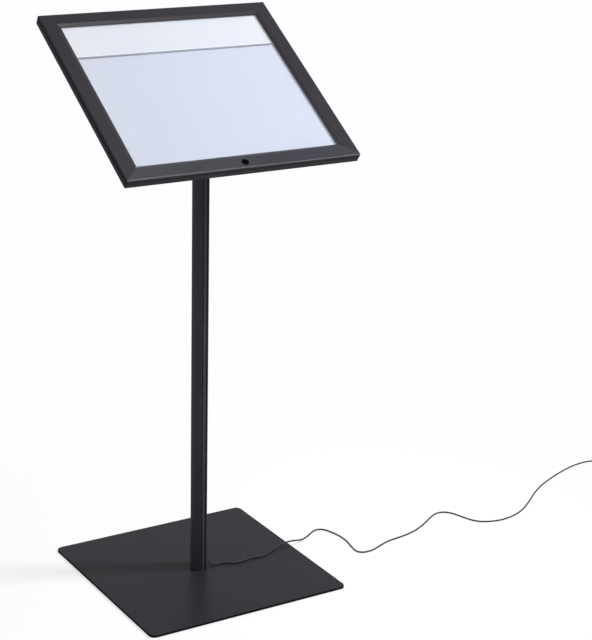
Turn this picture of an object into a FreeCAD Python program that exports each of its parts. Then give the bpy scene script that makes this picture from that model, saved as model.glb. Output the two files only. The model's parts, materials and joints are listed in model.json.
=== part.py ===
import FreeCAD, Part
import math
import os
from FreeCAD import Vector

# Lectern menu display stand: a lit, glazed menu case, tilted on a slim pole on a square steel plate.
# Millimetres. X runs to the reader's right, Y away from the reader and Z up.
# The origin lies on the floor under the middle of the base plate.

# Base plate and its pads
BASE_SIDE = 430.0
BASE_THICK = 5.0
BASE_CORNER_R = 12.0
BASE_EDGE_R = 0.8
PAD_D = 30.0
PAD_THICK = 1.0
PAD_FROM_CENTRE = 175.0

# Pole: an oval extrusion, flat at the front and back, with two screw ports and a front groove
POLE_WIDE = 29.0
POLE_DEEP = 40.0
POLE_FLAT = 14.0
POLE_CORNER_R = 1.5
POLE_WALL = 2.0
POLE_TOP = 925.0
PORT_FRONT_Y = -8.0
PORT_BACK_Y = 12.0
PORT_R = 5.0
PORT_BORE_R = 2.9
PORT_WEB = 2.0
GROOVE_WIDE = 11.5
GROOVE_DEEP = 2.5
STRIP_WIDE = 6.0
STRIP_THICK = 2.1
STRIP_EDGE_R = 0.5

# Screws: shank radius, length, head radius and head height
BASE_SCREW = (2.8, 34.0, 6.0, 3.2)
WEDGE_SCREW = (2.8, 32.0, 5.0, 6.0)
WEDGE_SCREW_KEY = 5.0
PLATE_SCREW = (2.0, 15.0, 4.0, 2.2)
CASE_SCREW = (2.4, 7.0, 4.75, 3.2)
PANEL_SCREW = (1.5, 5.0, 3.0, 1.8)
CASE_LEAF_SCREW = (1.5, 6.2, 3.0, 1.8)
DOOR_LEAF_SCREW = (1.25, 7.0, 2.2, 1.0)
CAM_SCREW = (1.25, 4.4, 3.0, 1.4)

# Head: x to the right, y up the slope, z out of the door's face
HEAD_WIDE = 482.0
HEAD_TALL = 434.0
HEAD_TILT = 32.57
HEAD_Y = 6.4
HEAD_Z = 982.0
HEAD_CORNER_R = 4.0

# Door rails: a folded channel whose inner edge slopes down to a lip over the pane
DOOR_DEEP = 8.0
DOOR_EDGE_R = 3.0
DOOR_WALL = 1.6
DOOR_FACE = 27.0
DOOR_SKIN = 1.8
RAIL_WIDE = 34.0
LIP_TOP = -2.5
LIP_UNDER = -3.5
LEG_FROM = 26.0
LEG_TO = 27.6
LEG_UNDER = -6.2
PANE_GAP = 0.3
PANE_THICK = 2.0

# Case rails, the ledges inside them and the back panel
CASE_INSET = 0.4
CASE_TOP = -8.4
CASE_BACK = -18.0
CASE_WALL = 1.6
LEDGE_TO = 14.0
LEDGE_THICK = 1.4
CASE_EDGE_R = 1.5
PANEL_THICK = 1.0
PANEL_GAP = 0.4
BUMPER_R = 4.0
BUMPER_IN = 10.0
BUMPER_GAP = 0.3

# Corner keys: arm length and arm width
CASE_KEY = (25.0, 1.5)
CASE_KEY_Z = (-15.4, -9.4)
DOOR_KEY = (30.0, 10.0)
DOOR_KEY_IN = 4.0
DOOR_KEY_THICK = 3.0

# Light behind the sheet: distances are from the head's outer edge
CHANNEL_FROM = 17.0
CHANNEL_TO = 26.0
CHANNEL_WALL = 1.0
CHANNEL_HALF = 175.0
CHANNEL_TOP = -6.6
CHANNEL_FOOT = -14.6
CHANNEL_SHELF = -12.4
BOARD_HALF = 172.0
BOARD_THICK = 1.0
BOARD_Z = (-11.4, -7.6)
CHIP_PITCH = 25.0
CHIP_COUNT = 14
CHIP_LONG = 5.0
CHIP_THICK = 1.2
CHIP_Z = (-10.9, -8.1)
GUIDE_SIDE = 21.0
GUIDE_END = 22.0
REFLECTOR_Z = (-11.6, -11.2)
GUIDE_Z = (-11.2, -8.2)
DIFFUSER_Z = (-8.2, -7.4)

# Menu sheet (A3, lying across) and the header card over its upper edge
SHEET_WIDE = 420.0
SHEET_TALL = 297.0
SHEET_LOW = -186.0
SHEET_Z = (-7.4, -7.1)
CARD_V = (99.6, 187.0)
CARD_Z = (-7.1, -6.6)
DIVIDER_V = (97.6, 102.1)
DIVIDER_HALF = 206.0
DIVIDER_Z = (-6.6, -5.9)

# Head fixing
WEDGE_TOP_W = -19.6
HEAD_PLATE_WIDE = 150.0
HEAD_PLATE_TALL = 120.0
HEAD_PLATE_R = 8.0
PLATE_HOLE_R = 7.0
PLATE_HOLE_UP = 4.0
PLATE_SCREW_U = 9.5
CASE_SCREW_U = 60.0
CASE_SCREW_V = 45.0
CASE_NUT = (8.0, 3.0)
PANEL_SCREW_U = 75.0
PANEL_SCREW_V = 120.0
PANEL_SCREW_IN = 8.0
COUNTERBORE_Z = 937.0
COUNTERBORE_R = 5.5

# Hinges along the upper edge
HINGE_U = 150.0
HINGE_V = 219.5
HINGE_W = -11.5
KNUCKLES = 5
KNUCKLE_STEP = 10.0
KNUCKLE_GAP = 0.3
KNUCKLE_R = 2.4
HINGE_PIN_R = 1.2
HINGE_RUN = 0.05
LEAF_THICK = 1.2
LEAF_FOOT = 12.6
LEAF_CLEAR = 0.4
LEAF_SCREW_U = 15.0
CASE_LEAF_SCREW_IN = 7.5
DOOR_LEAF_SCREW_W = -5.6

# Lock in the lower door rail
LOCK_V = -203.0
LOCK_FLANGE_R = 7.0
LOCK_FLANGE = 1.0
LOCK_BODY_R = 6.0
LOCK_NUT = (15.0, 2.5)
KEY_SLOT = (1.6, 6.0, 8.0)
PLUG_SUNK = 0.2
LOCK_PLUG_R = 4.0
LOCK_RUN = 0.05
LOCK_BODY_END = -11.2
CAM_TOP = -11.6
CAM_THICK = 1.4
CAM_REACH = 10.0
CAM_TAIL = 6.0
CAM_HALF = 5.0
CAM_HOLE_HALF = 2.5
KEEPER_HALF = 12.0
KEEPER_THICK = 1.2
KEEPER_REACH = 5.2
KEEPER_Z = (-15.4, -10.0)
RIVET_R = 1.6
RIVET_U = 8.0
RIVET_W = -13.4

# Lead: inside the pole, then free over the plate and the floor
LEAD_R = 1.7
LEAD_Y = 2.0
EXIT_X = 16.3
EXIT_Z = 12.5
EXIT_HOLE_R = 3.0
EXIT_COLLAR_R = 4.5
LEAD_BEND = 8.0
LEAD_W = -13.45
SPLICE_V = (12.0, 26.0)
SPLICE_R = 1.8
PANEL_HOLE_R = 5.0
RING_BACK = 0.3
RING_LIP = 0.3
RING_WALL = 1.0
WIRE_R = 0.6
WIRE_V = 50.0
WIRE_APART = 0.75
WIRE_END_D = 19.6
WIRE_END_W = -10.6
WIRE_BEND = 1.6

# Route of the free lead: over the plate, over its edge, then along the floor
LEAD_ROUTE = [
    (16.3, 2, 12.5), (19.5, 2, 12.5), (22.3, 0.5, 11.9), (24, -2.4, 10.8), (25.6, -5.8, 9.5),
    (28.4, -9, 8.4), (33.2, -10.9, 8), (42, -9.8, 8), (52, -11.5, 8), (62.5, -20, 8),
    (75.5, -24.5, 8), (92, -23, 8), (107, -19.5, 8), (120, -21, 8), (132, -25, 8),
    (146, -20.5, 8), (163, -11.5, 8), (182, -4.5, 9), (205, 2.5, 11.5), (225, 2, 11.4),
    (240, 3, 8.2), (254.5, 12, 3.4), (270, 21, 1.8), (285.5, 31.5, 1.8), (298, 39, 1.8),
    (309, 41.5, 1.8), (318, 37, 1.8), (324.5, 27, 1.8), (329, 12, 1.8), (332.5, -6, 1.8),
    (333.5, -28, 1.8), (329.5, -51, 1.8), (324.5, -72, 1.8), (323, -87.5, 1.8), (330, -97.5, 1.8),
    (343, -100, 1.8), (358.5, -98.5, 1.8), (379, -89.5, 1.8), (411, -77, 1.8), (448.5, -74, 1.8),
    (490.5, -63.5, 1.8), (530.5, -41.5, 1.8), (562.5, -20, 1.8), (581.5, -12.3, 1.8), (595, -13.7, 1.8),
    (606, -21.8, 1.8), (613.5, -35.5, 1.8), (618.3, -53.5, 1.8), (624.5, -72.5, 1.8), (633, -88.3, 1.8),
    (648, -99.5, 1.8), (669, -106.5, 1.8), (694.5, -109, 1.8), (730, -101.5, 1.8), (766, -84, 1.8),
    (800.5, -59, 1.8), (835.5, -31.5, 1.8), (874.5, -5.5, 1.8), (919, 16, 1.8), (968, 36.5, 1.8),
    (1018, 52, 1.8), (1053, 56, 2), (1079, 50.5, 2.6), (1101, 42, 2.6),
]

# Coil of the spare length, its tie and the plug-in adapter
COIL_R = 24.0
COIL_TURNS = 3
COIL_PITCH = 4.0
COIL_STEP = 4.0
TIE_WIDE = 4.0
TIE_THICK = 0.6
TIE_SLACK = 0.35
TAIL_LONG = 30.0
ADAPTER_LONG = 62.0
ADAPTER_WIDE = 40.0
ADAPTER_THICK = 22.0
ADAPTER_R = 4.0
ADAPTER_EDGE_R = 1.5
BOOT_LONG = 20.0
BOOT_R = (2.6, 4.2)
BOOT_SOCKET = 2.0
PIN_R = 2.0
PIN_LONG = 19.0
PIN_ROOT = 3.0
PIN_APART = 19.0

# Values that follow from the ones above
BASE_TOP = PAD_THICK + BASE_THICK
HALF_WIDE = HEAD_WIDE / 2
HALF_TALL = HEAD_TALL / 2
PANEL_Z = (CASE_BACK + LEDGE_THICK, CASE_BACK + LEDGE_THICK + PANEL_THICK)
POLE_HALF_DEEP = POLE_DEEP / 2
# The pole's sides are arcs through the ends of its flats and its widest points.
POLE_ARC_RISE = (POLE_WIDE - POLE_FLAT) / 2
POLE_ARC_R = (POLE_HALF_DEEP ** 2 + POLE_ARC_RISE ** 2) / (2 * POLE_ARC_RISE)
POLE_ARC_X = POLE_WIDE / 2 - POLE_ARC_R
HEAD_PLACE = FreeCAD.Placement(Vector(0, HEAD_Y, HEAD_Z), FreeCAD.Rotation(Vector(1, 0, 0), HEAD_TILT))
# Where the pole's axis passes through the slanted top of the wedge, in the head's frame.
TILT = math.radians(HEAD_TILT)
AXIS_ON_WEDGE = (WEDGE_TOP_W * math.sin(TILT) - HEAD_Y) / math.cos(TILT)


def block(x, y, z):
    """Box between two limits on each axis."""
    return Part.makeBox(x[1] - x[0], y[1] - y[0], z[1] - z[0], Vector(x[0], y[0], z[0]))


def rod(radius, start, end):
    """Round bar between two points."""
    axis = Vector(*end) - Vector(*start)
    return Part.makeCylinder(radius, axis.Length, Vector(*start), axis)


def prism(points, along):
    """Straight prism on a polygon."""
    corners = [Vector(*p) for p in points]
    return Part.Face(Part.makePolygon(corners + corners[:1])).extrude(Vector(*along))


def joined(first, *others):
    """One solid made of several that meet."""
    return first.fuse(list(others)).removeSplitter()


def edges_along(shape, axis):
    """Straight edges of a shape that run along an axis."""
    found = []
    for edge in shape.Edges:
        if edge.Curve.TypeId == "Part::GeomLine":
            if edge.tangentAt(edge.FirstParameter).cross(axis).Length < 1e-6:
                found.append(edge)
    return found


def edges_at_height(shape, height):
    """Edges that lie in one level plane."""
    return [e for e in shape.Edges if abs(e.BoundBox.ZMin - height) + abs(e.BoundBox.ZMax - height) < 1e-4]


def plate(wide, tall, z, corner):
    """Flat plate about the origin with rounded corners."""
    flat = block((-wide / 2, wide / 2), (-tall / 2, tall / 2), z)
    return flat.makeFillet(corner, edges_along(flat, Vector(0, 0, 1)))


def hexagon(across, z):
    """Hexagonal bar about the Z axis."""
    radius = across / math.sqrt(3)
    turns = [math.radians(60 * k) for k in range(6)]
    return prism([(radius * math.cos(t), radius * math.sin(t), z[0]) for t in turns], (0, 0, z[1] - z[0]))


def placed(shape, at, along=(0, 0, 1)):
    """Copy of a shape made along +Z, turned to another direction and moved."""
    moved = shape.copy()
    turn = FreeCAD.Rotation(Vector(0, 0, 1), Vector(*along))
    moved.Placement = FreeCAD.Placement(Vector(*at), turn).multiply(moved.Placement)
    return moved


def on_head(shape):
    """Copy of a shape from the head's own frame to the stand's."""
    moved = shape.copy()
    moved.Placement = HEAD_PLACE.multiply(moved.Placement)
    return moved


def pan_screw(shank, length, head, high):
    """Screw along +Z: the shank hangs below z = 0, the crossed pan head stands above."""
    body = Part.makeCylinder(head, high)
    body = body.makeFillet(0.4 * high, edges_at_height(body, high))
    slot = (-0.6 * head, 0.6 * head)
    blade = (-0.12 * head, 0.12 * head)
    recess = block(slot, blade, (0.4 * high, high)).fuse(block(blade, slot, (0.4 * high, high)))
    return joined(body.cut(recess), Part.makeCylinder(shank, length, Vector(0, 0, -length)))


def flat_screw(shank, length, head, high):
    """Countersunk screw along +Z with its crossed head's face at z = 0."""
    slot = (-0.55 * head, 0.55 * head)
    blade = (-0.12 * head, 0.12 * head)
    cone = Part.makeCone(shank, head, high, Vector(0, 0, -high))
    recess = block(slot, blade, (-0.4 * high, 0)).fuse(block(blade, slot, (-0.4 * high, 0)))
    return joined(cone.cut(recess), Part.makeCylinder(shank, length - high, Vector(0, 0, -length)))


def flat_screw_seat(shank, length, head, high):
    """Hole and countersink that a flat screw sits in."""
    cone = Part.makeCone(shank, head, high, Vector(0, 0, -high))
    return joined(cone, Part.makeCylinder(shank, length - high, Vector(0, 0, -length)))


def cap_screw(shank, length, head, high, key):
    """Socket-head screw along +Z with its head on z = 0."""
    body = Part.makeCylinder(head, high).cut(hexagon(key, (0.5 * high, high)))
    return joined(body, Part.makeCylinder(shank, length, Vector(0, 0, -length)))


def soft_path(points, bend=None):
    """Straight runs joined by tangent arcs, each as wide as its runs allow unless a bend is given."""
    points = [Vector(*p) for p in points]
    edges = []
    radii = []
    last = points[0]
    for before, corner, after in zip(points, points[1:], points[2:]):
        run_in = corner - before
        run_out = after - corner
        half_turn = run_in.getAngle(run_out) / 2
        reach = 0.45 * min(run_in.Length, run_out.Length)
        if bend:
            reach = bend * math.tan(half_turn)
        radius = reach / math.tan(half_turn)
        way_in = run_in / run_in.Length
        way_out = run_out / run_out.Length
        inward = way_out - way_in
        middle = corner + inward / inward.Length * (radius / math.cos(half_turn) - radius)
        start = corner - way_in * reach
        end = corner + way_out * reach
        edges.append(Part.LineSegment(last, start).toShape())
        edges.append(Part.Arc(start, middle, end).toShape())
        radii.append(radius)
        last = end
    edges.append(Part.LineSegment(last, points[-1]).toShape())
    return Part.Wire(edges), radii


def tube(path, radius):
    """Round solid along a path of lines and arcs."""
    first = path.Edges[0]
    start = first.valueAt(first.FirstParameter)
    ring = Part.Circle(start, first.tangentAt(first.FirstParameter), radius)
    return path.makePipeShell([Part.Wire([ring.toShape()])], True, False)


def arc_from(start, way, end):
    """Arc that leaves a point in a given direction and ends at another point."""
    chord = end - start
    side = chord - way * chord.dot(way)
    if side.Length < 1e-9:
        return Part.LineSegment(start, end).toShape()
    radius = chord.Length ** 2 / (2 * side.Length)
    normal = side / side.Length
    centre = start + normal * radius
    spread = (start - centre) + (end - centre)
    middle = centre + spread / spread.Length * radius
    return Part.Arc(start, middle, end).toShape()


def biarc(start, way_in, end, way_out):
    """Two arcs that join smoothly and take a path from one point and direction to another."""
    gap = end - start
    both = way_in + way_out
    bow = 2 * (1 - way_in.dot(way_out))
    along = gap.dot(both)
    if bow < 1e-9:
        reach = gap.dot(gap) / (4 * gap.dot(way_out))
    else:
        reach = (math.sqrt(along ** 2 + bow * gap.dot(gap)) - along) / bow
    joint = (start + end + (way_in - way_out) * reach) / 2
    back = arc_from(end, way_out * -1, joint)
    front = arc_from(start, way_in, joint)
    turned = Part.Arc(joint, back.valueAt((back.FirstParameter + back.LastParameter) / 2), end).toShape()
    return [front, turned]


def make_base():
    """Steel plate, pads under its corners and the two screws that hold the pole."""
    steel = plate(BASE_SIDE, BASE_SIDE, (PAD_THICK, BASE_TOP), BASE_CORNER_R)
    steel = steel.makeFillet(BASE_EDGE_R, edges_at_height(steel, BASE_TOP))
    seat = flat_screw_seat(*BASE_SCREW)
    screw = flat_screw(*BASE_SCREW)
    places = [(0, PORT_FRONT_Y, PAD_THICK), (0, PORT_BACK_Y, PAD_THICK)]
    for place in places:
        steel = steel.cut(placed(seat, place, (0, 0, -1)))
    pads = []
    for x in (-PAD_FROM_CENTRE, PAD_FROM_CENTRE):
        for y in (-PAD_FROM_CENTRE, PAD_FROM_CENTRE):
            pads.append(rod(PAD_D / 2, (x, y, 0), (x, y, PAD_THICK)))
    screws = [placed(screw, place, (0, 0, -1)) for place in places]
    return {
        "base_plate": steel,
        "base_pads": Part.makeCompound(pads),
        "base_screws": Part.makeCompound(screws),
    }


def oval(front, back, inset, z):
    """Prism with the pole's section between two Y limits, its curved sides moved in by an inset."""
    radius = POLE_ARC_R - inset
    x_front = POLE_ARC_X + math.sqrt(radius ** 2 - front ** 2)
    x_back = POLE_ARC_X + math.sqrt(radius ** 2 - back ** 2)
    x_side = POLE_ARC_X + radius
    front_left = Vector(-x_front, front, z[0])
    front_right = Vector(x_front, front, z[0])
    back_right = Vector(x_back, back, z[0])
    back_left = Vector(-x_back, back, z[0])
    edges = [
        Part.LineSegment(front_left, front_right).toShape(),
        Part.Arc(front_right, Vector(x_side, 0, z[0]), back_right).toShape(),
        Part.LineSegment(back_right, back_left).toShape(),
        Part.Arc(back_left, Vector(-x_side, 0, z[0]), front_left).toShape(),
    ]
    return Part.Face(Part.Wire(edges)).extrude(Vector(0, 0, z[1] - z[0]))


def pole_outside(z):
    """Outer form of the pole with its four corners eased."""
    solid = oval(-POLE_HALF_DEEP, POLE_HALF_DEEP, 0, z)
    return solid.makeFillet(POLE_CORNER_R, edges_along(solid, Vector(0, 0, 1)))


def make_pole():
    """Extrusion with a front groove, two screw ports on webs, a cover strip and the lead's grommet."""
    z = (BASE_TOP, POLE_TOP)
    groove_floor = -POLE_HALF_DEEP + GROOVE_DEEP
    hollow = oval(groove_floor + POLE_WALL, POLE_HALF_DEEP - POLE_WALL, POLE_WALL, z)
    for y in (PORT_FRONT_Y, PORT_BACK_Y):
        web = block((-POLE_WIDE, POLE_WIDE), (y - PORT_WEB / 2, y + PORT_WEB / 2), z)
        hollow = hollow.cut(web.fuse(rod(PORT_R, (0, y, z[0]), (0, y, z[1]))))
    outside = pole_outside(z)
    groove = block((-GROOVE_WIDE / 2, GROOVE_WIDE / 2), (-POLE_DEEP, groove_floor), z)
    bar = outside.cut(hollow).cut(groove)
    for y in (PORT_FRONT_Y, PORT_BACK_Y):
        bar = bar.cut(rod(PORT_BORE_R, (0, y, z[0]), (0, y, z[1])))
    middle = (0, LEAD_Y, EXIT_Z)
    beyond = (POLE_WIDE, LEAD_Y, EXIT_Z)
    bar = bar.cut(rod(EXIT_HOLE_R, middle, beyond))
    strip_face = groove_floor - STRIP_THICK
    strip = block((-STRIP_WIDE / 2, STRIP_WIDE / 2), (strip_face, groove_floor), z)
    upright = edges_along(strip, Vector(0, 0, 1))
    strip = strip.makeFillet(STRIP_EDGE_R, [e for e in upright if e.BoundBox.YMax < strip_face + 1e-4])
    mouth = (EXIT_X, LEAD_Y, EXIT_Z)
    collar = rod(EXIT_COLLAR_R, middle, mouth).cut(outside)
    sleeve = rod(EXIT_HOLE_R, (POLE_WIDE / 2 - 1.5 * POLE_WALL, LEAD_Y, EXIT_Z), mouth)
    grommet = joined(collar, sleeve).cut(rod(LEAD_R, middle, beyond))
    return {"pole": bar, "pole_cover_strip": strip, "cord_grommet": grommet}


def case_screw_places():
    """Places of the four screws that hold the case on the head plate."""
    rows = (AXIS_ON_WEDGE - CASE_SCREW_V, AXIS_ON_WEDGE + CASE_SCREW_V)
    return [(u, v) for u in (-CASE_SCREW_U, CASE_SCREW_U) for v in rows]


def make_head_fixing():
    """Slanted block on the pole, the plate on it, and the screws and nuts that hold them."""
    reach = (-HEAD_PLATE_WIDE, HEAD_PLATE_WIDE)
    above = on_head(block(reach, reach, (WEDGE_TOP_W, HEAD_PLATE_WIDE)))
    wedge = pole_outside((POLE_TOP, HEAD_Z)).cut(above)
    cap = cap_screw(*WEDGE_SCREW, WEDGE_SCREW_KEY)
    wedge_screws = []
    for y in (PORT_FRONT_Y, PORT_BACK_Y):
        wedge = wedge.cut(rod(COUNTERBORE_R, (0, y, COUNTERBORE_Z), (0, y, HEAD_Z)))
        wedge = wedge.cut(rod(WEDGE_SCREW[0], (0, y, POLE_TOP), (0, y, HEAD_Z)))
        wedge_screws.append(placed(cap, (0, y, COUNTERBORE_Z)))
    wedge = wedge.cut(rod(EXIT_HOLE_R, (0, LEAD_Y, POLE_TOP), (0, LEAD_Y, HEAD_Z)))

    steel = plate(HEAD_PLATE_WIDE, HEAD_PLATE_TALL, (WEDGE_TOP_W, PANEL_Z[0]), HEAD_PLATE_R)
    steel = placed(steel, (0, AXIS_ON_WEDGE, 0))
    hole_v = AXIS_ON_WEDGE + PLATE_HOLE_UP
    steel = steel.cut(rod(PLATE_HOLE_R, (0, hole_v, WEDGE_TOP_W), (0, hole_v, PANEL_Z[0])))
    plate_screws = []
    for u in (-PLATE_SCREW_U, PLATE_SCREW_U):
        at = (u, AXIS_ON_WEDGE, PANEL_Z[0])
        seat = placed(flat_screw_seat(*PLATE_SCREW), at)
        steel = steel.cut(seat)
        wedge = wedge.cut(on_head(seat))
        plate_screws.append(on_head(placed(flat_screw(*PLATE_SCREW), at)))

    case_screws = []
    nuts = []
    nut = hexagon(CASE_NUT[0], (0, CASE_NUT[1])).cut(Part.makeCylinder(CASE_SCREW[0], CASE_NUT[1]))
    for u, v in case_screw_places():
        steel = steel.cut(rod(CASE_SCREW[0], (u, v, WEDGE_TOP_W), (u, v, PANEL_Z[0])))
        case_screws.append(on_head(placed(pan_screw(*CASE_SCREW), (u, v, WEDGE_TOP_W), (0, 0, -1))))
        nuts.append(on_head(placed(nut, (u, v, PANEL_Z[1]))))
    return {
        "head_wedge": wedge,
        "wedge_screws": Part.makeCompound(wedge_screws),
        "head_plate": on_head(steel),
        "head_plate_screws": Part.makeCompound(plate_screws),
        "case_mount_screws": Part.makeCompound(case_screws),
        "press_nuts": Part.makeCompound(nuts),
    }


def rail(profile, wide, inset, turn):
    """One mitred rail of a frame round the head; the profile gives distance in from the edge and height."""
    sideways = turn % 180 != 0
    half_long = (HALF_TALL if sideways else HALF_WIDE) - inset
    half_span = (HALF_WIDE if sideways else HALF_TALL) - inset
    face = Part.Face(Part.Wire(profile))
    bar = face.extrude(Vector(2 * half_long, 0, 0))
    bar.translate(Vector(-half_long, -half_span, 0))
    low = min(v.Z for v in bar.Vertexes) - 1
    inner = half_long - wide
    ends = [(-half_long, -half_span, low), (half_long, -half_span, low)]
    ends += [(inner, wide - half_span, low), (-inner, wide - half_span, low)]
    bar = bar.common(prism(ends, (0, 0, -2 * low)))
    bar.rotate(Vector(0, 0, 0), Vector(0, 0, 1), turn)
    corner = max(HEAD_CORNER_R - inset, 1.0)
    return bar.common(plate(HEAD_WIDE - 2 * inset, HEAD_TALL - 2 * inset, (low, -low), corner))


def outline(start, *steps):
    """Edges in the YZ plane: a pair is a straight step, two pairs an arc through the first to the second."""
    here = Vector(0, *start)
    edges = []
    for step in steps:
        if isinstance(step[0], tuple):
            there = Vector(0, *step[1])
            edges.append(Part.Arc(here, Vector(0, *step[0]), there).toShape())
        else:
            there = Vector(0, *step)
            edges.append(Part.LineSegment(here, there).toShape())
        here = there
    edges.append(Part.LineSegment(here, Vector(0, *start)).toShape())
    return edges


def corner_keys(arm, depth, inset, z):
    """Four L-shaped keys that join the rails of a frame at its corners."""
    keys = []
    for sx in (-1, 1):
        for sy in (-1, 1):
            x = sorted((sx * (HALF_WIDE - inset), sx * (HALF_WIDE - inset - arm)))
            y = sorted((sy * (HALF_TALL - inset), sy * (HALF_TALL - inset - arm)))
            thin_x = sorted((sx * (HALF_WIDE - inset), sx * (HALF_WIDE - inset - depth)))
            thin_y = sorted((sy * (HALF_TALL - inset), sy * (HALF_TALL - inset - depth)))
            keys.append(on_head(joined(block(x, thin_y, z), block(thin_x, y, z))))
    return Part.makeCompound(keys)


def door_profile():
    """Section of a door rail."""
    ease = DOOR_EDGE_R * (1 - math.sqrt(0.5))
    return outline(
        (0, -DOOR_DEEP), (0, -DOOR_EDGE_R), ((ease, -ease), (DOOR_EDGE_R, 0)), (DOOR_FACE, 0),
        (RAIL_WIDE, LIP_TOP), (RAIL_WIDE, LIP_UNDER), (LEG_TO, LIP_UNDER), (LEG_TO, LEG_UNDER),
        (LEG_FROM, LEG_UNDER), (LEG_FROM, -DOOR_SKIN), (DOOR_WALL, -DOOR_SKIN), (DOOR_WALL, -DOOR_DEEP))


def case_profile():
    """Section of a case rail: a flat band with its outer back edge rounded."""
    ease = CASE_EDGE_R * (1 - math.sqrt(0.5))
    return outline(
        (0, CASE_TOP), (0, CASE_BACK + CASE_EDGE_R), ((ease, CASE_BACK + ease), (CASE_EDGE_R, CASE_BACK)),
        (CASE_WALL, CASE_BACK), (CASE_WALL, CASE_TOP))


def ledge_profile():
    """Section of a ledge strip, welded inside a case rail, that carries the back panel."""
    return outline(
        (CASE_WALL, CASE_BACK), (LEDGE_TO, CASE_BACK), (LEDGE_TO, PANEL_Z[0]), (CASE_WALL, PANEL_Z[0]))


SIDES = {"bottom": 0, "right": 90, "top": 180, "left": 270}


def make_hinges():
    """Two butt hinges on the upper edge: leaves, pins and screws, all in the head's frame."""
    case_leaves = []
    door_leaves = []
    pins = []
    case_screws = []
    door_screws = []
    door_seats = []
    case_face = HALF_TALL - CASE_INSET
    case_plate_v = (case_face, case_face + LEAF_THICK)
    door_plate_v = (HALF_TALL, HALF_TALL + LEAF_THICK)
    foot_z = (CASE_BACK - LEAF_THICK, CASE_BACK)
    below_knuckle = HINGE_W - KNUCKLE_R - LEAF_CLEAR
    above_knuckle = HINGE_W + KNUCKLE_R + LEAF_CLEAR
    case_screw_v = case_face - CASE_LEAF_SCREW_IN
    for middle in (-HINGE_U, HINGE_U):
        start = middle - (KNUCKLES * KNUCKLE_STEP - KNUCKLE_GAP) / 2
        full = (start, start + KNUCKLES * KNUCKLE_STEP - KNUCKLE_GAP)
        case_leaf = joined(
            block(full, case_plate_v, (foot_z[0], below_knuckle)),
            block(full, (case_face - LEAF_FOOT, case_plate_v[1]), foot_z))
        door_leaf = block(full, door_plate_v, (above_knuckle, -DOOR_EDGE_R - KNUCKLE_GAP))
        for k in range(KNUCKLES):
            part = (start + k * KNUCKLE_STEP, start + (k + 1) * KNUCKLE_STEP - KNUCKLE_GAP)
            barrel = rod(KNUCKLE_R, (part[0], HINGE_V, HINGE_W), (part[1], HINGE_V, HINGE_W))
            if k % 2 == 0:
                tab = block(part, case_plate_v, (below_knuckle, HINGE_W))
                case_leaf = joined(case_leaf, tab, barrel)
            else:
                tab = block(part, door_plate_v, (HINGE_W, above_knuckle))
                door_leaf = joined(door_leaf, tab, barrel)
        pin_ends = ((full[0] - KNUCKLE_GAP, HINGE_V, HINGE_W), (full[1] + KNUCKLE_GAP, HINGE_V, HINGE_W))
        pin = rod(HINGE_PIN_R, *pin_ends)
        run = rod(HINGE_PIN_R + HINGE_RUN, *pin_ends)
        case_leaf = case_leaf.cut(pin)
        door_leaf = door_leaf.cut(run)
        for u in (middle - LEAF_SCREW_U, middle + LEAF_SCREW_U):
            under = (u, case_screw_v, foot_z[0])
            case_leaf = case_leaf.cut(rod(CASE_LEAF_SCREW[0], under, (u, case_screw_v, foot_z[1])))
            case_screws.append(placed(pan_screw(*CASE_LEAF_SCREW), under, (0, 0, -1)))
            side = (u, door_plate_v[1], DOOR_LEAF_SCREW_W)
            seat = placed(flat_screw_seat(*DOOR_LEAF_SCREW), side, (0, 1, 0))
            door_seats.append(seat)
            door_leaf = door_leaf.cut(seat)
            door_screws.append(placed(flat_screw(*DOOR_LEAF_SCREW), side, (0, 1, 0)))
        case_leaves.append(case_leaf)
        door_leaves.append(door_leaf)
        pins.append(pin)
    pieces = {
        "hinge_case_leaves": case_leaves,
        "hinge_door_leaves": door_leaves,
        "hinge_pins": pins,
        "hinge_case_screws": case_screws,
        "hinge_door_screws": door_screws,
    }
    return pieces, door_seats


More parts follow.
